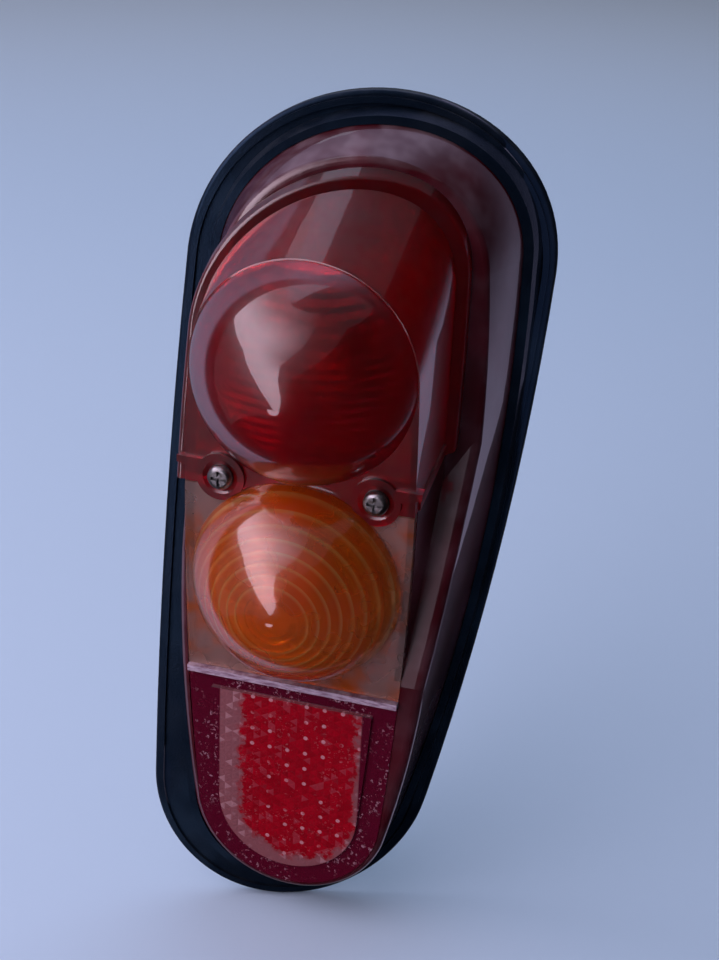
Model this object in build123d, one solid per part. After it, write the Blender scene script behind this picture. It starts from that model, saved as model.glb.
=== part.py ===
from build123d import *
from math import cos, radians, sin, sqrt
import os

# Rear lamp cluster for the right-hand rear corner of a small car: a red body on a rubber gasket,
# a red stop lens with a fluted dome, an amber turn lens with a prism-ringed dome, and a red reflex
# reflector. Millimetres. X points outboard, Y forwards into the car, Z up. The origin lies on the
# outer skin of the body panel, midway between the two mounting studs. "Height" is distance in
# front of the origin, measured square to the lamp's face; "lift" is distance off the panel.

# The body panel under the gasket is part of a cylinder that leans back and faces partly outboard.
panel_radius = 255
panel_lean = 7.1
panel_turn = 16.4

# Levels and walls
face_height = 25.0
lens_wall = 2.4
body_wall = 2.2
plate_sheet = 1.2
fit_gap = 0.2

# Gasket
gasket_base = 3.0
gasket_ledge = 5.0
gasket_rounding = 1.0
gasket_ridge_height = 3.6
gasket_ridge_width = 2.2
gasket_lip_width = 1.6
gasket_lip_height = 0.9
gasket_lip_inset = 1.4

# Face of the lamp
half_width = 30.2
chin_narrowing = 3.2
stop_centre = 59.6
chin_centre = -73.5
ledge_level = -31.0
ledge_thickness = 2.0
ledge_stand_out = 1.6
panel_inset = 6.5
panel_rise = 0.8
panel_drop = 4.5
ramp_start = -26.0
ramp_slope = 21.8
land_lift = 18.1
shoulder_rounding = 2.5
bead_width = 2.6
bead_height = 2.2
bead_rounding = 1.1
seam_level = 25.0
seam_slope = 26.0
seam_band_width = 2.6
seam_band_height = 0.6

# Lenses
stop_dome_margin = 0.4
stop_dome_height = 23.0
flute_pitch = 2.4
flute_depth = 0.5
turn_dome_margin = 1.1
turn_dome_height = 22.0
prism_count = 9
prism_clear_radius = 4.8
prism_depth = 0.7
prism_lean = 0.25

# Lens screws
screw_spacing = 42.0
screw_level = 28.2
screw_ear_radius = 6.6
screw_ear_height = 1.2
screw_dish_radius = 4.8
screw_dish_depth = 0.8
screw_tab_reach = 33.0
screw_tab_width = 5.2
screw_tab_tip = 1.8
screw_head_radius = 3.4
screw_head_height = 2.2
screw_head_rounding = 1.3
screw_radius = 1.9
screw_length = 14.0
screw_recess_width = 0.9
screw_recess_span = 4.2
screw_recess_depth = 1.1
pillar_radius = 3.6

# Mounting studs
stud_spacing = 176.0
stud_radius = 2.5
stud_length = 18.0
stud_pad_radius = 6.0
stud_pad_height = 2.0
stud_collar_radius = 3.2

# Bulbs and holders
bulb_radius = 12.5
bulb_glass = 0.8
bulb_reach = 17.0
bulb_cap_radius = 7.5
bulb_cap_front = 5.0
bulb_cap_length = 15.0
turret_radius = 14.0
turret_rise = 5.5
holder_radius = 10.5
holder_front = 4.0
holder_back = 16.0
holder_rim_radius = 13.0
holder_rim_sheet = 1.5
blade_width = 6.3
blade_sheet = 0.8
blade_length = 9.0
blade_pitch = 9.0

# Inside the lamp
divider_level = 34.5
divider_sheet = 1.2
backing_sheet = 1.0
backing_gap = 0.8

# Cable outlet
grommet_place = -42.0
grommet_neck = 6.5
grommet_flange = 9.0
grommet_flange_sheet = 1.6
grommet_tip_radius = 5.5
grommet_bore = 3.5
grommet_length = 14.0

# Ovals of four tangent arcs: top circle, bottom circle, then the radii of the two side arcs.
# Columns: top x, z, radius; bottom x, z, radius; outboard side radius, inboard side radius.
chin_radius = half_width - chin_narrowing
face_oval = ((0, stop_centre, half_width), (0, chin_centre, chin_radius), 1000, 1000)
root_depth = 34.0
root_oval = ((2.0, 83.6, half_width + 1.2), (0.2, chin_centre, chin_radius + 0.2), 800, 800)
shoulder_oval = ((2.4, 75.3, half_width - 4.2), (0, -74, chin_radius + 1.8), 347, 470)
skirt_depth = 56.0
foot_oval = ((3.7, 79, half_width + 15.2), (-0.2, -74, chin_radius + 3.8), 488, 697)
gasket_oval = ((6.6, 76.7, half_width + 16.3), (-3.6, -73.4, chin_radius + 11.9), 941, 1995)

# Longer than any cut has to be, and heights clear of the lamp in front of it and behind it
beyond = 400.0
ahead, behind = beyond / 4, -beyond / 4

# The tilted axes of the panel: along its straight lines, and out of it at the origin
lean, turn = radians(panel_lean), radians(panel_turn)
panel_along = Vector(0, sin(lean), cos(lean))
panel_normal = Vector(sin(turn), -cos(turn) * cos(lean), cos(turn) * sin(lean))
panel_axis = Plane(origin=panel_normal * -panel_radius, x_dir=panel_normal, z_dir=panel_along)

FORWARDS = (Align.CENTER, Align.CENTER, Align.MIN)
BACKWARDS = (Align.CENTER, Align.CENTER, Align.MAX)


def level(height):
    """Drawing plane parallel to the lamp's face, at a height in front of the origin."""
    return Plane.XZ.offset(height)


def oval(shape, grow=0):
    """Face inside an oval of four tangent arcs, grown by a distance."""
    (top_x, top_z, top_r), (low_x, low_z, low_r), outboard, inboard = shape
    top, low = Vector(top_x, top_z), Vector(low_x, low_z)
    down = (low - top).normalized()
    span = (low - top).length
    joints = {}
    for side, radius in ((1, outboard), (-1, inboard)):
        to_top, to_low = radius - top_r, radius - low_r
        along = (span**2 + to_top**2 - to_low**2) / (2 * span)
        inwards = Vector(down.Y, -down.X) * side
        centre = top + down * along + inwards * sqrt(to_top**2 - along**2)
        upper = centre + (top - centre).normalized() * (radius + grow)
        lower = centre + (low - centre).normalized() * (radius + grow)
        middle = centre + ((upper + lower) * 0.5 - centre).normalized() * (radius + grow)
        joints[side] = (upper, middle, lower)
    crown = top - down * (top_r + grow)
    chin = low + down * (low_r + grow)
    return make_face([
        ThreePointArc(joints[-1][0], crown, joints[1][0]),
        ThreePointArc(*joints[1]),
        ThreePointArc(joints[1][2], chin, joints[-1][2]),
        ThreePointArc(*reversed(joints[-1])),
    ])


def tapered(front, front_height, back, back_height, grow=0):
    """Solid with straight drafted walls between two ovals on planes parallel to the face."""
    faces = [level(front_height) * oval(front, grow), level(back_height) * oval(back, grow)]
    return loft(faces, ruled=True)


def straight(shape, front_height, back_height, grow=0):
    """Solid with walls square to the face between two heights."""
    return tapered(shape, front_height, shape, back_height, grow)


def panel_block(lift):
    """Everything behind a surface that lies a distance outside the body panel."""
    radius, reach = panel_radius + lift, radians(40)
    low, middle, high = ((radius * cos(a), radius * sin(a)) for a in (-reach, 0, reach))
    inside = panel_radius / 2
    rim = [ThreePointArc(low, middle, high), Polyline(high, (inside, high[1]), (inside, low[1]), low)]
    return extrude(panel_axis * make_face(rim), beyond / 2, both=True)


def behind_ramp(setback):
    """Everything behind the ramp that falls away from the face above the ledge."""
    front, back = -face_height + setback, -face_height + setback + beyond / 4
    rise = (back - front) / sin(radians(ramp_slope)) * cos(radians(ramp_slope))
    points = [(front, ramp_start), (back, ramp_start + rise), (back, -beyond / 2), (front, -beyond / 2)]
    return extrude(Plane.YZ * make_face(Polyline(points, close=True)), beyond / 4, both=True)


def above_seam(gap):
    """Everything above the slanting joint between the stop lens and the lamp body."""
    slant = radians(seam_slope)
    joint = Plane((0, -face_height, seam_level + gap), x_dir=(1, 0, 0), z_dir=(0, -sin(slant), cos(slant)))
    return joint * Box(beyond, beyond, beyond, align=FORWARDS)


def below(z):
    """Everything below a level."""
    return Pos(0, 0, z) * Box(beyond, beyond, beyond, align=BACKWARDS)


def slab(front_height, back_height):
    """Everything between two planes parallel to the face."""
    return level(front_height) * Box(beyond, beyond, front_height - back_height, align=BACKWARDS)


def tower(grow=0):
    """The tower, tapering from the face back to its root inside the body."""
    return tapered(face_oval, face_height, root_oval, face_height - root_depth, grow)


def skirt_walls(grow=0):
    """The slanting outer walls between the shoulder and the foot on the gasket."""
    return tapered(shoulder_oval, face_height, foot_oval, face_height - skirt_depth, grow)


def land_block(setback=0):
    """Everything behind the land round the tower's root and the ramp below it."""
    return panel_block(land_lift - setback) + behind_ramp(setback)


def rod(radius, x, z, front_height, back_height):
    """Round bar square to the face."""
    bar = Cylinder(radius, front_height - back_height, align=BACKWARDS)
    return level(front_height) * Pos(x, z) * bar


def on_panel(along, lift):
    """Frame on the panel's centre line, its Z pointing into the car."""
    place = panel_along * along + panel_normal * lift
    return Plane(origin=place, x_dir=panel_along, z_dir=panel_normal * -1)


def stub(radius, length):
    """Round bar that starts at a frame and runs along its Z."""
    return Cylinder(radius, length, align=FORWARDS)


def surface_height(z, lift):
    """Height of a surface outside the panel, on the lamp's centre line."""
    return lift / (cos(turn) * cos(lean)) - z * sin(lean) / cos(lean)


def ball_radius(rim_radius, height):
    """Radius of the sphere whose cap has a given rim and height."""
    return (rim_radius**2 + height**2) / (2 * height)


lens_back = face_height - lens_wall
stop_dome_radius = half_width - stop_dome_margin
turn_dome_radius = half_width - turn_dome_margin
stop_ball = ball_radius(stop_dome_radius, stop_dome_height)
turn_ball = ball_radius(turn_dome_radius, turn_dome_height)
plate_back = gasket_base
plate_front = gasket_base + plate_sheet
screw_seat = face_height + screw_ear_height - screw_dish_depth
screw_places = {"left": -screw_spacing / 2, "right": screw_spacing / 2}
chambers = {"stop": stop_centre, "turn": 0}
turret_tops = {name: surface_height(z, plate_front) + turret_rise for name, z in chambers.items()}


def rounded_rim(solid, radius, *kinds):
    """The solid with the edges rounded, lowest first, where its walls meet fronts of the given kinds."""
    back = solid.bounding_box().max.Y
    walls = ShapeList(face for face in solid.faces() if face.bounding_box().max.Y > back - fit_gap)
    fronts = ShapeList(face for face in solid.faces() if face not in walls and face.geom_type in kinds)
    return fillet((walls.edges() & fronts.edges()).sort_by(Axis.Z), radius)


def gasket():
    """Rubber pad on the panel with a thin lip near its edge and a ridge that hugs the body's foot."""
    pad = straight(gasket_oval, ahead, behind) & panel_block(gasket_base)
    pad = rounded_rim(pad, gasket_rounding, GeomType.CYLINDER)
    lip = straight(gasket_oval, ahead, behind, -gasket_lip_inset)
    lip -= straight(gasket_oval, ahead, behind, -gasket_lip_inset - gasket_lip_width)
    pad += lip & panel_block(gasket_base + gasket_lip_height)
    ridge = skirt_walls(gasket_ridge_width) & panel_block(gasket_base + gasket_ridge_height)
    ridge -= skirt_walls(fit_gap) + panel_block(gasket_base)
    return pad - skirt_walls(-gasket_ledge) - panel_block(0) + ridge


def base_plate():
    """Sheet that closes the lamp's back, with a raised flat turret under each bulb holder."""
    sheet = skirt_walls() & panel_block(plate_front)
    for name, z in chambers.items():
        top = turret_tops[name]
        sheet += rod(turret_radius, 0, z, top, behind)
        sheet -= rod(turret_radius - plate_sheet, 0, z, top - plate_sheet, behind)
        sheet -= rod(holder_radius + fit_gap, 0, z, ahead, behind)
    for along in (-stud_spacing / 2, stud_spacing / 2):
        sheet -= on_panel(along, 0) * Cylinder(stud_collar_radius + fit_gap / 4, beyond / 4)
    sheet -= on_panel(grommet_place, 0) * Cylinder(grommet_neck, beyond / 4)
    return sheet - panel_block(plate_back)


def lamp_body():
    """Red moulding: the skirt, the land and the lower walls of the tower, open front and back."""
    outer = rounded_rim(skirt_walls() & land_block(), shoulder_rounding, GeomType.CYLINDER, GeomType.PLANE)
    outer -= straight(face_oval, ahead, lens_back, fit_gap)
    outer += (tower() - above_seam(0)) & slab(lens_back, behind)
    inner = (skirt_walls(-body_wall) & land_block(body_wall)) + tower(-body_wall)
    return outer - inner - panel_block(plate_front)


def cap(rim_radius, height, z):
    """Smooth cap of a sphere on a short round foot in the face."""
    radius = ball_radius(rim_radius, height)
    ball = level(face_height + height - radius) * Pos(0, z) * Sphere(radius)
    return (ball & slab(ahead, face_height)) + rod(rim_radius, 0, z, face_height, lens_back)


def fluted_hollow():
    """Inside of the stop dome: a ball with level flutes pressed all round it."""
    radius = stop_ball - lens_wall
    count = int(radius / flute_pitch)
    rises = [flute_pitch * step / 2 for step in range(-2 * count, 2 * count + 1)]
    rim = [(sqrt(radius**2 - z**2) - flute_depth * (step % 2), z) for step, z in enumerate(rises)]
    profile = make_face(Polyline([(0, rises[0]), *rim, (0, rises[-1])], close=True))
    centre = face_height + stop_dome_height - stop_ball
    return Pos(0, -centre, stop_centre) * Rot(90, 0, 0) * revolve(profile, Axis.Y)


def ringed_hollow():
    """Inside of the turn dome: a flat spot in the middle, then rings of prisms like steps."""
    radius = turn_ball - lens_wall
    centre = turn_dome_height - turn_ball
    rim = sqrt(radius**2 - (lens_wall + centre) ** 2)
    pitch = (rim - prism_clear_radius) / prism_count
    radii = [prism_clear_radius + pitch * ring for ring in range(prism_count + 1)]
    heights = [centre + sqrt(radius**2 - r**2) for r in radii]
    points = [(0, heights[0]), (radii[0], heights[0])]
    for outer, height in zip(radii[1:], heights[1:]):
        points += [(outer - prism_lean, height - prism_depth), (outer, height)]
    points += [(rim, -lens_wall - prism_depth), (0, -lens_wall - prism_depth)]
    return level(face_height) * Rot(90, 0, 0) * revolve(make_face(Polyline(points, close=True)), Axis.Y)


def screw_ear(x):
    """Round boss with a pointed tab that runs out over the edge of the face."""
    top = face_height + screw_ear_height
    side = x / abs(x)
    low = seam_level + lens_wall
    tab = Polyline(
        (x, low), (side * screw_tab_reach, low + screw_tab_width - screw_tab_tip),
        (side * screw_tab_reach, low + screw_tab_width), (x, low + screw_tab_width), close=True,
    )
    tab = loft([level(height) * make_face(tab) for height in (top, lens_back)], ruled=True)
    return rod(screw_ear_radius, x, screw_level, top, lens_back) + tab


def screw_hole(x):
    """Dish round a screw's head, with the hole for its shank."""
    dish = Cone(screw_head_radius + fit_gap, screw_dish_radius, screw_dish_depth, align=FORWARDS)
    hole = level(screw_seat) * Pos(x, screw_level) * dish
    hole += rod(screw_dish_radius, x, screw_level, ahead, screw_seat + screw_dish_depth)
    return hole + rod(screw_radius + fit_gap, x, screw_level, ahead, behind)


def stop_lens():
    """Red lens: the roof of the tower, its bead on the land, a fluted dome and two screw ears."""
    upper = above_seam(fit_gap)
    band = (tower(seam_band_height) - above_seam(fit_gap + seam_band_width)) & slab(lens_back, behind)
    bead = tower(bead_width) & panel_block(land_lift + bead_height)
    bead = rounded_rim(bead, bead_rounding, GeomType.CYLINDER)
    lens = (tower() + band + bead) & upper
    lens += cap(stop_dome_radius, stop_dome_height, stop_centre)
    for x in screw_places.values():
        lens += screw_ear(x) & (upper + slab(ahead, face_height + fit_gap / 2))
    lens -= (tower(-lens_wall) & slab(lens_back, behind)) + (fluted_hollow() & slab(ahead, lens_back))
    lens -= rod(turn_dome_radius + fit_gap, 0, 0, ahead, behind)
    for x in screw_places.values():
        lens -= screw_hole(x)
    return lens - land_block()


def turn_lens():
    """Amber lens: a plate across the tower's face and a smooth dome with prism rings inside."""
    plate = straight(face_oval, face_height, lens_back) - above_seam(-fit_gap) - below(ledge_level)
    plate += cap(turn_dome_radius, turn_dome_height, 0)
    return plate - (ringed_hollow() & slab(ahead, lens_back - prism_depth))


def reflector():
    """Red reflex reflector that closes the rounded bottom of the face, with a ledge on top."""
    ledge_foot = ledge_level - ledge_thickness
    plate = straight(face_oval, face_height, lens_back)
    raised = straight(face_oval, face_height + panel_rise, lens_back, -panel_inset)
    plate += raised & below(ledge_foot - panel_drop)
    plate += straight(face_oval, face_height + ledge_stand_out, lens_back) - below(ledge_foot)
    return plate & below(ledge_level - fit_gap)


def reflector_backing():
    """Thin tray that seals the prisms behind the reflector."""
    front = lens_back - backing_gap
    sheet = tower(-body_wall - fit_gap) & slab(front, front - backing_sheet)
    return (sheet & below(ledge_level - ledge_thickness)) - panel_block(plate_front + fit_gap)


def chamber_divider():
    """Sheet wall between the stop chamber and the turn chamber."""
    wall = Pos(0, 0, divider_level) * Box(beyond, beyond, divider_sheet)
    wall &= tower(-body_wall - fit_gap) & slab(lens_back - fit_gap, behind)
    return wall - panel_block(plate_front)


def lens_screw(x):
    """Pan-head screw with a cross recess."""
    top = screw_seat + screw_head_height
    head = rod(screw_head_radius, x, screw_level, top, screw_seat)
    head = fillet(head.edges().filter_by(GeomType.CIRCLE).sort_by(Axis.Y)[0], screw_head_rounding)
    depth = 2 * screw_recess_depth
    cross = Box(screw_recess_span, screw_recess_width, depth)
    cross += Box(screw_recess_width, screw_recess_span, depth)
    shank = rod(screw_radius, x, screw_level, screw_seat, screw_seat - screw_length)
    return head - level(top) * Pos(x, screw_level) * cross + shank


def lens_pillar(x):
    """Riveted tube that stands on the base plate and takes a lens screw."""
    tube = rod(pillar_radius, x, screw_level, lens_back, behind)
    return tube - rod(screw_radius + fit_gap / 4, x, screw_level, ahead, behind) - panel_block(plate_front)


def mounting_stud(along):
    """Stud welded through the base plate, pointing into the car."""
    front = on_panel(along, plate_front + stud_pad_height)
    through = stud_pad_height + plate_sheet
    head = front * stub(stud_pad_radius, through) - panel_block(plate_front)
    shank = stub(stud_radius, through + plate_back + stud_length)
    return head + front * (stub(stud_collar_radius, through) + shank)


def bulb(name, z):
    """Glass and cap of a bulb on its chamber's axis."""
    top = turret_tops[name]
    centre, cap_top = top + bulb_reach, top + bulb_cap_front
    glass = level(centre) * Pos(0, z) * Sphere(bulb_radius) + rod(bulb_cap_radius, 0, z, centre, cap_top)
    glass -= level(centre) * Pos(0, z) * Sphere(bulb_radius - bulb_glass)
    glass -= rod(bulb_cap_radius - bulb_glass, 0, z, centre, behind)
    return glass, rod(bulb_cap_radius, 0, z, cap_top, cap_top - bulb_cap_length)


def bulb_holder(name, z):
    """Cup through the turret of the base plate, with a rim that seats on it."""
    top = turret_tops[name]
    cup = rod(holder_radius, 0, z, top + holder_front, top - holder_back)
    cup += rod(holder_rim_radius, 0, z, top + holder_rim_sheet, top)
    return cup - rod(bulb_cap_radius + fit_gap / 4, 0, z, ahead, top + bulb_cap_front - bulb_cap_length)


def terminals(name, z):
    """Two blade terminals that stand out of the back of a bulb holder."""
    back = level(turret_tops[name] - holder_back)
    blade = Box(blade_sheet, blade_width, blade_length, align=BACKWARDS)
    return Compound([back * Pos(x, z) * blade for x in (-blade_pitch / 2, blade_pitch / 2)])


def cable_grommet():
    """Rubber grommet in the base plate, with a tapered nose into the car."""
    front = on_panel(grommet_place, plate_front + grommet_flange_sheet)
    flange = front * stub(grommet_flange, grommet_flange_sheet) - panel_block(plate_front)
    neck = front * stub(grommet_neck, grommet_flange_sheet + plate_sheet + grommet_length / 2)
    nose = Cone(grommet_flange, grommet_tip_radius, grommet_length, align=FORWARDS)
    nose = on_panel(grommet_place, plate_back) * nose & panel_block(plate_back)
    return flange + neck + nose - front * Cylinder(grommet_bore, beyond / 4)


parts = {
    "gasket": gasket(),
    "base_plate": base_plate(),
    "lamp_body": lamp_body(),
    "stop_lens": stop_lens(),
    "turn_lens": turn_lens(),
    "reflector": reflector(),
    "reflector_backing": reflector_backing(),
    "chamber_divider": chamber_divider(),
    "cable_grommet": cable_grommet(),
}
for side, x in screw_places.items():
    parts[f"lens_screw_{side}"] = lens_screw(x)
    parts[f"lens_pillar_{side}"] = lens_pillar(x)
for place, along in (("upper", stud_spacing / 2), ("lower", -stud_spacing / 2)):
    parts[f"mounting_stud_{place}"] = mounting_stud(along)
for name, z in chambers.items():
    parts[f"{name}_bulb_glass"], parts[f"{name}_bulb_cap"] = bulb(name, z)
    parts[f"{name}_bulb_holder"] = bulb_holder(name, z)
    parts[f"{name}_terminals"] = terminals(name, z)

os.makedirs("parts", exist_ok=True)
for name, shape in parts.items():
    export_step(shape, f"parts/{name}.step")
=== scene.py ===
"""Rear lamp cluster of a small car: finishes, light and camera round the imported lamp.

The lamp's frame: X outboard, Y into the car, Z up, with the face of the lamp on the plane
Y = -25 mm. The points of the stage's surfaces are in millimetres and their meshes in metres, and
the lengths in the materials are metres of Object coordinates.
"""

import bpy
import numpy as np
from mathutils import Matrix, Vector


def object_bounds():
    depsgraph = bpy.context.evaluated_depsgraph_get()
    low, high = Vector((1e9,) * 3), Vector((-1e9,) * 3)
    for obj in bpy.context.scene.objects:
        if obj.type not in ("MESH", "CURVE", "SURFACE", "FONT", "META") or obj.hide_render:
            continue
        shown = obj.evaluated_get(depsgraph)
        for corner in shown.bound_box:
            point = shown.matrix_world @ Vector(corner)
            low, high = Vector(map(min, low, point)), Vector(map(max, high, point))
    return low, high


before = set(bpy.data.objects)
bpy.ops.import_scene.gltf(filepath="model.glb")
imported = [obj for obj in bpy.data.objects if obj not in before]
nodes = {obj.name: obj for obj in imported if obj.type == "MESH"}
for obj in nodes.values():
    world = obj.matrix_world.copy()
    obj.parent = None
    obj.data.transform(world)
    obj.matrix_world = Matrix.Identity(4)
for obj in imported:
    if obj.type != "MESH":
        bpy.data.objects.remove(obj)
cad_box = [list(corner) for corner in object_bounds()]
MM = 0.001


# Surfaces

def surface(name, points, faces, material):
    """Smooth mesh object from an array of points in millimetres and an array of faces."""
    mesh = bpy.data.meshes.new(name)
    mesh.from_pydata((np.asarray(points) * MM).tolist(), [], np.asarray(faces).tolist())
    mesh.update()
    mesh.polygons.foreach_set("use_smooth", np.full(len(mesh.polygons), True))
    obj = bpy.data.objects.new(name, mesh)
    bpy.context.scene.collection.objects.link(obj)
    mesh.materials.append(material)
    return obj


def grid_faces(rows, columns):
    """Quads of a rows x columns grid of points, row by row."""
    first = np.arange((rows - 1) * columns).reshape(rows - 1, columns)[:, :-1]
    return np.stack([first, first + 1, first + columns + 1, first + columns], -1).reshape(-1, 4)


# Node helpers

def new_group(name, inputs, outputs):
    """Shader node group with named sockets. Returns the group and its two end nodes."""
    group = bpy.data.node_groups.new(name, "ShaderNodeTree")
    for direction, sockets in (("INPUT", inputs), ("OUTPUT", outputs)):
        for socket, kind, value in sockets:
            made = group.interface.new_socket(socket, in_out=direction, socket_type="NodeSocket" + kind)
            if value is not None:
                made.default_value = value
    return group, group.nodes.new("NodeGroupInput"), group.nodes.new("NodeGroupOutput")


def node(tree, kind, inputs=None, **settings):
    """Shader node with its settings, its values and its links."""
    made = tree.nodes.new("ShaderNode" + kind)
    for name, value in settings.items():
        setattr(made, name, value)
    for socket, value in (inputs or {}).items():
        if isinstance(value, bpy.types.NodeSocket):
            tree.links.new(value, made.inputs[socket])
        else:
            made.inputs[socket].default_value = value
    return made


def maths(tree, operation, first, second=0.5, third=0.5, clamp=False):
    """Result of a Math node."""
    made = node(tree, "Math", {0: first, 1: second, 2: third}, operation=operation, use_clamp=clamp)
    return made.outputs[0]


def times(tree, first, second):
    """Product of two values."""
    return maths(tree, "MULTIPLY", first, second)


def hypotenuse(tree, first, second):
    """Square root of the sum of two squares."""
    return maths(tree, "SQRT", maths(tree, "ADD", times(tree, first, first), times(tree, second, second)))


def ramp(tree, value, low, high):
    """Value eased from 0 at the low end of a range to 1 at its high end, which may be the lesser number."""
    made = node(tree, "MapRange", {"Value": value, "From Min": low, "From Max": high},
                interpolation_type="SMOOTHSTEP")
    return made.outputs["Result"]


def mixed(tree, share, first, second):
    """Colour between two colours."""
    made = node(tree, "Mix", data_type="RGBA")
    for socket, value in ((made.inputs[0], share), (made.inputs[6], first), (made.inputs[7], second)):
        if isinstance(value, bpy.types.NodeSocket):
            tree.links.new(value, socket)
        else:
            socket.default_value = (*value, 1)
    return made.outputs[2]


def noise(tree, place, scale, detail=2.0, roughness=0.5):
    """Value of a noise texture."""
    made = node(tree, "TexNoise", {"Vector": place, "Scale": scale, "Detail": detail, "Roughness": roughness})
    return made.outputs["Fac"]


# Shared effects

def settled_dust():
    """Group: dust where a surface faces up, broken by cloudy patches, and small specks all over."""
    group, given, out = new_group(
        "settled_dust",
        [("Place", "Vector", None), ("Amount", "Float", 0.3), ("Speck Size", "Float", 900.0)],
        [("Dust", "Float", None), ("Specks", "Float", None)])
    place, amount = given.outputs["Place"], given.outputs["Amount"]
    upwards = node(group, "SeparateXYZ", {0: node(group, "NewGeometry").outputs["Normal"]}).outputs["Z"]
    shelf = ramp(group, upwards, 0.1, 1.0)
    clouds = ramp(group, noise(group, place, 90.0, 2.0, 0.65), 0.38, 0.70)
    grime = times(group, maths(group, "MULTIPLY_ADD", shelf, 0.8, 0.2), clouds)
    specks = ramp(group, noise(group, place, given.outputs["Speck Size"], 1.0, 0.6), 0.66, 0.73)
    group.links.new(times(group, grime, amount), out.inputs["Dust"])
    group.links.new(times(group, specks, amount), out.inputs["Specks"])
    return group


def handling_wear():
    """Group: hazy scuffs, and fine hairline scratches that run two ways."""
    group, given, out = new_group(
        "handling_wear",
        [("Place", "Vector", None), ("Haze Size", "Float", 60.0)],
        [("Haze", "Float", None), ("Lines", "Float", None)])
    place = given.outputs["Place"]
    haze = ramp(group, noise(group, place, given.outputs["Haze Size"], 2.0, 0.7), 0.42, 0.72)
    ways = []
    for turn, stretch in ((0.5, (900, 14, 900)), (1.2, (14, 1000, 900))):
        along = node(group, "Mapping", {"Vector": place, "Rotation": (0.3, turn, turn), "Scale": stretch})
        ways.append(ramp(group, noise(group, along.outputs[0], 1.0, 1.0), 0.70, 0.78))
    group.links.new(haze, out.inputs["Haze"])
    group.links.new(maths(group, "MAXIMUM", *ways), out.inputs["Lines"])
    return group


def moulded_grain():
    """Group: the fine uneven skin that a mould leaves, as a height and a roughness shift."""
    group, given, out = new_group(
        "moulded_grain",
        [("Place", "Vector", None), ("Size", "Float", 1500.0)],
        [("Height", "Float", None), ("Shift", "Float", None)])
    place = given.outputs["Place"]
    pebbles = noise(group, place, given.outputs["Size"], 1.0, 0.6)
    waves = noise(group, place, 45.0, 0.0, 0.5)
    group.links.new(maths(group, "MULTIPLY_ADD", waves, 0.6, pebbles), out.inputs["Height"])
    group.links.new(maths(group, "SUBTRACT", pebbles, 0.5), out.inputs["Shift"])
    return group


def reflex_cells():
    """Group: triangular lattice in the X-Z plane, as little pyramids and as one chance value per cell.

    Three triangle waves run 60 degrees apart. Their least value is a cell's height, and the whole
    numbers of the three waves together name the cell.
    """
    group, given, out = new_group(
        "reflex_cells", [("Place", "Vector", None), ("Pitch", "Float", 0.002)],
        [("Height", "Float", None), ("Chance", "Float", None)])
    axes = node(group, "SeparateXYZ", {0: given.outputs["Place"]}).outputs
    waves, steps = [], []
    for angle in (0, 60, 120):
        across = times(group, axes["X"], float(np.cos(np.radians(angle))))
        along = maths(group, "MULTIPLY_ADD", axes["Z"], float(np.sin(np.radians(angle))), across)
        turns = maths(group, "DIVIDE", along, given.outputs["Pitch"])
        waves.append(maths(group, "PINGPONG", turns, 0.5))
        steps.append(maths(group, "FLOOR", turns))
    height = maths(group, "MINIMUM", maths(group, "MINIMUM", waves[0], waves[1]), waves[2])
    cell = node(group, "CombineXYZ", dict(zip("XYZ", steps)))
    chance = node(group, "TexWhiteNoise", {"Vector": cell.outputs[0]}, noise_dimensions="3D")
    group.links.new(height, out.inputs["Height"])
    group.links.new(chance.outputs["Value"], out.inputs["Chance"])
    return group


dust_group, wear_group, grain_group = settled_dust(), handling_wear(), moulded_grain()
cell_group = reflex_cells()


# Materials

def principled(name, colour, roughness, **inputs):
    """Material with one Principled shader. Returns it, its node tree, its shader and Object coordinates."""
    mat = bpy.data.materials.new(name)
    mat.use_nodes = True
    tree = mat.node_tree
    shader = tree.nodes["Principled BSDF"]
    shader.inputs["Base Color"].default_value = (*colour, 1)
    shader.inputs["Roughness"].default_value = roughness
    for socket, value in inputs.items():
        shader.inputs[socket.replace("_", " ")].default_value = value
    return mat, tree, shader, node(tree, "TexCoord").outputs["Object"]


def placed(tree, group, place, **inputs):
    """A shared effect set into a material with its own values."""
    made = tree.nodes.new("ShaderNodeGroup")
    made.node_tree = group
    tree.links.new(place, made.inputs["Place"])
    for socket, value in inputs.items():
        made.inputs[socket.replace("_", " ")].default_value = value
    return made.outputs


def raised(tree, shader, height, distance):
    """Bump of a height on a shader's normal."""
    bump = node(tree, "Bump", {"Height": height, "Distance": distance, "Strength": 1.0})
    tree.links.new(bump.outputs[0], shader.inputs["Normal"])


def prism_step_highlights(tree, place):
    """Mask of the painted highlights on the steps between the turn dome's prism rings, which lie round the
    lamp's Y axis.
    """
    clear_radius, ring_pitch = 0.0048, 0.0026
    axes = node(tree, "SeparateXYZ", {0: place}).outputs
    radius = hypotenuse(tree, axes["X"], axes["Z"])
    turns = maths(tree, "DIVIDE", maths(tree, "SUBTRACT", radius, clear_radius), ring_pitch)
    steps = ramp(tree, maths(tree, "FRACT", turns), 0.62, 0.95)
    steps = times(tree, steps, ramp(tree, radius, 0.0070, 0.0080))
    return times(tree, steps, ramp(tree, radius, 0.0290, 0.0280))


def chalk_patches(tree, place):
    """Mask of cloudy patches on the flat of the lamp's face, which leaves out the dome that stands on it."""
    forward = node(tree, "SeparateXYZ", {0: place}).outputs["Y"]
    flat = ramp(tree, forward, -0.0258, -0.0252)
    clouds = ramp(tree, noise(tree, place, 70.0, 3.0, 0.6), 0.35, 0.6)
    return times(tree, flat, clouds)


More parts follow.
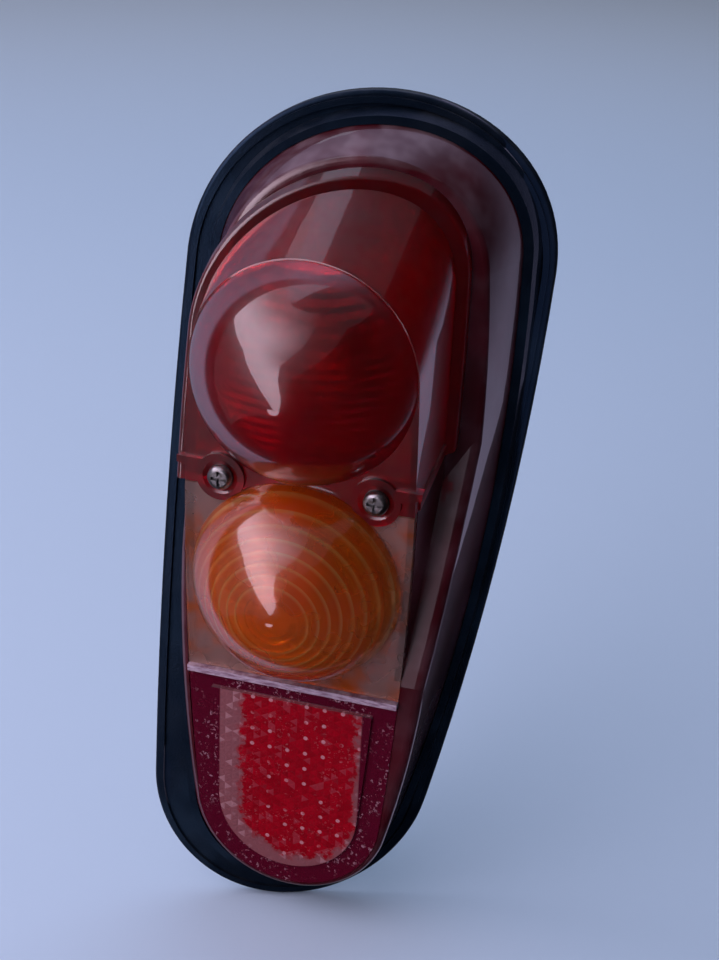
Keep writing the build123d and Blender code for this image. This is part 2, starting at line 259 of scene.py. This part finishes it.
def lens_plastic(name, clear, aged, blur, haze_size=60.0, dust=0.15, ring_highlight=None, chalked=None, **inputs):
    """Coloured plastic under a smooth skin: aged patches, scuffs, specks and dust.

    The ring highlight colour is a painted highlight on the edges of the turn dome's prisms, where light
    catches the steps, and a chalked colour lies in patches on the flat of the face.
    """
    mat, tree, shader, place = principled(name, clear, blur, IOR=1.45, Coat_Roughness=0.02, Coat_IOR=1.55,
                                          **inputs)
    haze = placed(tree, wear_group, place, Haze_Size=haze_size)["Haze"]
    film = placed(tree, dust_group, place, Amount=dust)
    base = mixed(tree, haze, clear, aged)
    # painted highlight: a brighter amber on the steps between the prism rings
    if ring_highlight:
        base = mixed(tree, prism_step_highlights(tree, place), base, ring_highlight)
    if chalked:
        base = mixed(tree, chalk_patches(tree, place), base, chalked)
    tree.links.new(mixed(tree, film["Dust"], base, (0.42, 0.36, 0.40)), shader.inputs["Base Color"])
    tree.links.new(maths(tree, "MULTIPLY_ADD", haze, 0.08, blur), shader.inputs["Roughness"])
    skin = maths(tree, "SUBTRACT", 1.0, film["Specks"], clamp=True)
    tree.links.new(skin, shader.inputs["Coat Weight"])
    return mat


def reflector_zones(tree, place):
    """Masks of the reflector's field of cells, of the weathered border inside it and of the ledge above.

    Distance from the reflector's middle line, which ends in the centre of its rounded foot, tells
    the field from the rim. The border is ragged, and wider inboard.
    """
    foot_centre = 0.0735
    axes = node(tree, "SeparateXYZ", {0: place}).outputs
    x, z = axes["X"], axes["Z"]
    below_centre = maths(tree, "MINIMUM", maths(tree, "ADD", z, foot_centre), 0.0)
    spread = hypotenuse(tree, x, below_centre)
    ragged = noise(tree, place, 260.0, 3.0, 0.7)
    reach = maths(tree, "MULTIPLY_ADD", ragged, 0.009, maths(tree, "MULTIPLY_ADD", x, -0.16, spread))
    border = ramp(tree, reach, 0.0198, 0.0222)
    field = times(tree, ramp(tree, spread, 0.0208, 0.0203), ramp(tree, z, -0.0372, -0.0377))
    ledge = ramp(tree, z, -0.0334, -0.0329)
    return field, border, ledge


def pale_pips(tree, place):
    """Mask of small round pips on a square grid in the X-Z plane, missing in patches."""
    half_pitch = 0.0026
    axes = node(tree, "SeparateXYZ", {0: place}).outputs
    off = [maths(tree, "PINGPONG", maths(tree, "ADD", axes[axis], shift), half_pitch)
           for axis, shift in (("X", 0.0005), ("Z", 0.0016))]
    pips = ramp(tree, hypotenuse(tree, *off), 0.0007, 0.0005)
    return times(tree, pips, ramp(tree, noise(tree, place, 160.0, 2.0), 0.42, 0.52))


def reflex_moulding():
    """Crimson reflector: cells and pips in its field, painted glints on a random few cells, a chalky border,
    a scuffed rim, a frosted ledge.
    """
    mat, tree, shader, place = principled("reflex_plastic", (0.24, 0.002, 0.010), 0.2,
                                          Coat_Weight=1.0, Coat_Roughness=0.05)
    field, border, ledge = reflector_zones(tree, place)
    cells = placed(tree, cell_group, place, Pitch=0.0021)
    # painted glints: a random few cells coloured brighter, in the field and in the chalky border
    painted_glints = ramp(tree, cells["Chance"], 0.86, 0.90)
    marks = ramp(tree, noise(tree, place, 900.0, 3.0, 0.7), 0.58, 0.66)
    marks = times(tree, marks, ramp(tree, noise(tree, place, 110.0, 2.0), 0.40, 0.60))

    deep = mixed(tree, cells["Chance"], (0.29, 0.001, 0.008), (0.20, 0.001, 0.006))
    deep = mixed(tree, times(tree, painted_glints, 0.35), deep, (0.40, 0.05, 0.07))
    deep = mixed(tree, times(tree, pale_pips(tree, place), 0.7), deep, (0.55, 0.25, 0.27))
    chalk = mixed(tree, times(tree, painted_glints, 0.6), (0.17, 0.055, 0.062), (0.36, 0.19, 0.20))
    inside = mixed(tree, times(tree, border, 0.85), deep, chalk)
    rim = mixed(tree, marks, (0.075, 0.002, 0.012), (0.28, 0.15, 0.18))
    face = mixed(tree, field, rim, inside)
    stretched = node(tree, "Mapping", {"Vector": place, "Scale": (260, 260, 1500)})
    frost = ramp(tree, noise(tree, stretched.outputs[0], 1.0, 3.0, 0.7), 0.3, 0.7)
    frosted = mixed(tree, frost, (0.16, 0.08, 0.12), (0.46, 0.36, 0.42))
    tree.links.new(mixed(tree, ledge, face, frosted), shader.inputs["Base Color"])

    dull = maths(tree, "MAXIMUM", maths(tree, "MAXIMUM", times(tree, border, field), ledge), marks)
    tree.links.new(maths(tree, "MULTIPLY_ADD", dull, 0.45, 0.15), shader.inputs["Roughness"])
    tree.links.new(maths(tree, "MULTIPLY_ADD", dull, -0.9, 1.0), shader.inputs["Coat Weight"])
    pyramids = times(tree, times(tree, cells["Height"], field), 1.2)
    raised(tree, shader, maths(tree, "MULTIPLY_ADD", marks, 0.15, pyramids), 0.0002)
    return mat


def moulded_rubber():
    """Black rubber: fine pebbled skin, patches of chalky bloom that are partly painted blue sky sheen, and
    dust on what faces up.
    """
    # painted sky reflection: the plain black leans blue, and the blue specular tint colours the highlights
    plain = (0.003, 0.006, 0.011)
    mat, tree, shader, place = principled("black_rubber", plain, 0.42, Specular_IOR_Level=0.3,
                                          Specular_Tint=(0.25, 0.55, 1.0, 1.0))
    haze = placed(tree, wear_group, place, Haze_Size=35.0)["Haze"]
    film = placed(tree, dust_group, place, Amount=0.3)
    grain = placed(tree, grain_group, place, Size=1600.0)
    # the hazy patches are partly chalky bloom and partly painted blue sky sheen
    bloom_and_sheen = mixed(tree, haze, plain, (0.008, 0.016, 0.026))
    tree.links.new(mixed(tree, film["Dust"], bloom_and_sheen, (0.05, 0.06, 0.07)), shader.inputs["Base Color"])
    rough = maths(tree, "MULTIPLY_ADD", haze, 0.2, 0.34)
    tree.links.new(maths(tree, "MULTIPLY_ADD", grain["Shift"], 0.25, rough), shader.inputs["Roughness"])
    raised(tree, shader, grain["Height"], 0.00006)
    return mat


def painted_sheet():
    """White enamel on sheet steel, yellowed and spotted with dirt."""
    white = (0.74, 0.72, 0.68)
    mat, tree, shader, place = principled("white_enamel", white, 0.4)
    haze = placed(tree, wear_group, place, Haze_Size=50.0)["Haze"]
    film = placed(tree, dust_group, place, Amount=0.6, Speck_Size=500.0)
    grain = placed(tree, grain_group, place, Size=900.0)
    spotted = mixed(tree, film["Specks"], mixed(tree, haze, white, (0.60, 0.54, 0.44)), (0.12, 0.08, 0.05))
    tree.links.new(mixed(tree, film["Dust"], spotted, (0.30, 0.27, 0.23)), shader.inputs["Base Color"])
    tree.links.new(maths(tree, "MULTIPLY_ADD", haze, 0.3, 0.32), shader.inputs["Roughness"])
    raised(tree, shader, grain["Height"], 0.00003)
    return mat


def worn_metal(name, bright_colour, dull_colour, roughness, haze_size=220.0):
    """Plated metal: bright where it is rubbed, dull and rougher in patches, with dirt specks."""
    mat, tree, shader, place = principled(name, bright_colour, roughness, Metallic=1.0)
    wear = placed(tree, wear_group, place, Haze_Size=haze_size)
    specks = placed(tree, dust_group, place, Amount=0.5, Speck_Size=2500.0)["Specks"]
    grain = placed(tree, grain_group, place, Size=3000.0)
    base = mixed(tree, wear["Haze"], bright_colour, dull_colour)
    tree.links.new(mixed(tree, specks, base, (0.05, 0.035, 0.025)), shader.inputs["Base Color"])
    tree.links.new(maths(tree, "MULTIPLY_ADD", wear["Haze"], 0.25, roughness), shader.inputs["Roughness"])
    bare = maths(tree, "MULTIPLY_ADD", specks, -0.9, 1.0, clamp=True)
    tree.links.new(bare, shader.inputs["Metallic"])
    raised(tree, shader, maths(tree, "SUBTRACT", grain["Height"], wear["Lines"]), 0.00002)
    return mat


def clear_glass():
    """Blown glass of the bulbs with a faint smoky film."""
    mat, tree, shader, place = principled("bulb_glass", (1, 1, 1), 0.0, Transmission_Weight=1.0, IOR=1.5)
    haze = placed(tree, wear_group, place, Haze_Size=120.0)["Haze"]
    smoked = mixed(tree, haze, (0.98, 0.98, 0.97), (0.85, 0.83, 0.80))
    tree.links.new(smoked, shader.inputs["Base Color"])
    return mat


def holder_moulding():
    """Dark moulded plastic of the bulb holders."""
    dark = (0.016, 0.016, 0.018)
    mat, tree, shader, place = principled("holder_plastic", dark, 0.5)
    haze = placed(tree, wear_group, place, Haze_Size=90.0)["Haze"]
    film = placed(tree, dust_group, place, Amount=0.5)
    base = mixed(tree, haze, dark, (0.05, 0.048, 0.046))
    tree.links.new(mixed(tree, film["Dust"], base, (0.16, 0.14, 0.12)), shader.inputs["Base Color"])
    tree.links.new(maths(tree, "MULTIPLY_ADD", haze, 0.2, 0.42), shader.inputs["Roughness"])
    raised(tree, shader, placed(tree, grain_group, place, Size=1200.0)["Height"], 0.00004)
    return mat


red_plastic = lens_plastic("red_lens_plastic", (0.60, 0.002, 0.012), (0.50, 0.003, 0.018), 0.28,
                           dust=0.1, Transmission_Weight=0.96)
body_plastic = lens_plastic("body_plastic", (0.045, 0.001, 0.004), (0.075, 0.004, 0.010), 0.3,
                            haze_size=40.0, dust=0.2)
# The amber's ring colour is a painted highlight on its prism steps.
amber_plastic = lens_plastic("amber_lens_plastic", (0.95, 0.19, 0.003), (0.90, 0.14, 0.002), 0.24, dust=0.06,
                             ring_highlight=(1.0, 0.46, 0.08), chalked=(0.66, 0.40, 0.34), Transmission_Weight=0.84)
reflex = reflex_moulding()
rubber = moulded_rubber()
enamel = painted_sheet()
steel = worn_metal("zinc_steel", (0.52, 0.53, 0.55), (0.36, 0.35, 0.33), 0.3)
bright = worn_metal("bright_steel", (0.26, 0.27, 0.28), (0.12, 0.11, 0.10), 0.28, haze_size=400.0)
brass = worn_metal("bulb_brass", (0.70, 0.56, 0.30), (0.42, 0.30, 0.16), 0.25)
glass = clear_glass()
black = holder_moulding()

finishes = {
    "gasket": rubber, "cable_grommet": rubber, "lamp_body": body_plastic, "stop_lens": red_plastic,
    "turn_lens": amber_plastic, "reflector": reflex, "reflector_backing": body_plastic,
    "chamber_divider": enamel, "base_plate": enamel,
    "lens_screw_left": bright, "lens_screw_right": bright,
    "lens_pillar_left": steel, "lens_pillar_right": steel,
    "mounting_stud_upper": steel, "mounting_stud_lower": steel,
    "stop_bulb_glass": glass, "stop_bulb_cap": brass, "stop_bulb_holder": black, "stop_terminals": brass,
    "turn_bulb_glass": glass, "turn_bulb_cap": brass, "turn_bulb_holder": black, "turn_terminals": brass,
}
for name, material in finishes.items():
    mesh = nodes[name].data
    mesh.materials.clear()
    mesh.materials.append(material)


# Stage, light and camera

def glowing(name, colour, strength):
    """Light-giving material. Its strength is the mesh's glow attribute times the given one."""
    mat = bpy.data.materials.new(name)
    mat.use_nodes = True
    tree = mat.node_tree
    tree.nodes.clear()
    glow = node(tree, "Attribute", attribute_name="glow").outputs["Fac"]
    light = node(tree, "Emission", {"Color": (*colour, 1), "Strength": times(tree, glow, strength)})
    out = tree.nodes.new("ShaderNodeOutputMaterial")
    tree.links.new(light.outputs[0], out.inputs["Surface"])
    return mat


def stage_light(name, points, glow, colour, strength):
    """Light surface, unseen by the camera, from a grid of points in millimetres and a glow at each."""
    faces = grid_faces(*glow.shape)
    obj = surface(name, points.reshape(-1, 3), faces, glowing(name + "_glow", colour, strength))
    obj.data.attributes.new("glow", "FLOAT", "POINT").data.foreach_set("value", glow.ravel())
    obj.visible_camera = False
    return obj


def towards(azimuth, elevation, distance):
    """Point in a direction: azimuth 0 is in front of the lamp's face and 90 outboard of it."""
    a, e = np.radians(azimuth), np.radians(elevation)
    return distance * np.stack([np.sin(a) * np.cos(e), -np.cos(a) * np.cos(e), np.sin(e)], -1)


def sky_softbox():
    """Bright window of light, front left: at each elevation it spans a left to a right azimuth.

    It narrows to a point below. Its strength is full along the left edge below 38 degrees and eases
    off towards the top and, above 10 degrees, towards the right edge.
    """
    elevation = np.linspace(-26, 70, 33)[:, None]
    across = np.linspace(0, 1, 8)[None, :]
    left = np.interp(elevation, [-26, -22, 0, 20, 28, 40, 70], [-13, -15, -33, -55, -84, -100, -110])
    right = np.interp(elevation, [-26, -10, 6, 19, 38, 58, 70], [-12, -9, -13, -13, 6, 22, 36])
    azimuth = left + (right - left) * across
    fade_up = 0.75 * np.clip((elevation - 38) / 22, 0, 1)
    fade_right = 0.85 * np.clip((elevation - 10) / 15, 0, 1) * np.clip((across - 0.55) / 0.45, 0, 1)
    points = towards(azimuth, elevation + 0 * azimuth, 1600)
    stage_light("sky_softbox", points, (1 - fade_up) * (1 - fade_right), (1.0, 0.80, 0.97), 4.3)


def overhead_card():
    """Dimmer curved card over the lamp's left shoulder: low at the back, rising to the zenith at its side."""
    azimuth = np.linspace(-215, -40, 26)[None, :]
    low = np.interp(azimuth, [-215, -130, -112, -95, -60, -40], [25, 25, 48, 54, 62, 70])
    elevation = low + (89 - low) * np.linspace(0, 1, 6)[:, None]
    points = towards(azimuth + 0 * elevation, elevation, 1700)
    stage_light("overhead_card", points, np.clip((elevation - low) / 8, 0, 1), (0.72, 0.76, 1.0), 1.3)


def dark_flag():
    """Black flag in front and to the right, seen in gloss alone, so the domes stay deep there."""
    azimuth = np.linspace(-75, 170, 24)[None, :]
    high = np.interp(azimuth, [-75, -35, -14, -3, 60, 170], [-38, -24, -28, 12, 52, 45])
    elevation = -85 + (high + 85) * np.linspace(0, 1, 12)[:, None]
    points = towards(azimuth + 0 * elevation, elevation, 620)
    felt = principled("black_felt", (0.003, 0.003, 0.003), 1.0, Specular_IOR_Level=0.0)[0]
    flag = surface("dark_flag", points.reshape(-1, 3), grid_faces(*elevation.shape), felt)
    flag.visible_camera = flag.visible_diffuse = flag.visible_transmission = flag.visible_shadow = False


def mounting_board():
    """Pale board in the plane the lamp seats on, seen in gloss alone, as a ring round the gasket.

    Each ring is the gasket's oval blown up from its middle by a factor of 1.08 to 6. Left of the lamp
    it grows brighter outwards up to 2.8 times the oval. Right of it, a dimmer strip stops at 1.6 times.
    """
    half_length, half_width, sideways = 122, 48, 3
    lean, turn = np.radians(7.1), np.radians(16.4)
    grow = np.geomspace(1.08, 6, 10)[:, None]
    angle = np.linspace(0, 2 * np.pi, 37)[None, :]
    along = half_length * np.cos(angle) * grow
    across = (half_width * np.sin(angle) + sideways) * grow
    up = np.array([0, np.sin(lean), np.cos(lean)])
    out = np.array([np.sin(turn), -np.cos(turn) * np.cos(lean), np.cos(turn) * np.sin(lean)])
    points = along[..., None] * up + across[..., None] * np.cross(up, out)
    inboard = np.clip(-np.sin(angle) * 1.6 + 0.1, 0, 1)
    outboard = np.clip(np.sin(angle) * 1.6 + 0.1, 0, 1)
    above = np.clip(np.cos(angle) * 4 - 3, 0, 1)
    left_share = (0.3 + 0.6 * np.clip((grow - 1.2) / 1.2, 0, 1)) * np.clip((2.8 - grow) / 0.15, 0, 1)
    right_share = 0.5 * np.clip((1.62 - grow) / 0.1, 0, 1)
    glow = inboard * left_share + outboard * right_share + above * 0.6
    board = stage_light("mounting_board", points, glow, (0.70, 0.64, 1.0), 1.0)
    board.visible_diffuse = board.visible_transmission = board.visible_shadow = False


def pale_floor():
    """Level floor just under the lamp. Its paint grows paler with distance, as the light falls off."""
    near, half_size = (0.49, 0.67, 0.81), 6000
    paint, tree, shader, place = principled("floor_paint", near, 0.9)
    distance = node(tree, "VectorMath", {0: place}, operation="LENGTH").outputs["Value"]
    faded = mixed(tree, ramp(tree, distance, 0.6, 2.2), near, (0.80, 0.93, 0.98))
    tree.links.new(faded, shader.inputs["Base Color"])
    level = cad_box[0][2] / MM - 0.5
    corners = [(x, y, level) for x in (-half_size, half_size) for y in (-half_size, half_size)]
    floor = surface("floor", corners, [(0, 2, 3, 1)], paint)
    floor.visible_glossy = False


pale_floor()
sky_softbox()
overhead_card()
dark_flag()
mounting_board()

world = bpy.data.worlds.new("studio")
bpy.context.scene.world = world
world.use_nodes = True
backdrop = world.node_tree.nodes["Background"]
backdrop.inputs["Color"].default_value = (0.72, 0.82, 1.0, 1)
backdrop.inputs["Strength"].default_value = 0.14

camera = bpy.data.objects.new("camera", bpy.data.cameras.new("camera"))
bpy.context.scene.collection.objects.link(camera)
bpy.context.scene.camera = camera
camera.data.sensor_width = 36
camera.data.lens = 59.48
camera.data.clip_start = 0.01
right = Vector((0.96196, 0.26925, 0.04614))
down = Vector((0.15907, -0.41481, -0.8959))
facing = Matrix((right, -down, -right.cross(down))).transposed()
camera.matrix_world = Matrix.Translation((0.1056, -0.3751, 0.2114)) @ facing.to_4x4()

bpy.context.scene.view_settings.view_transform = "Standard"
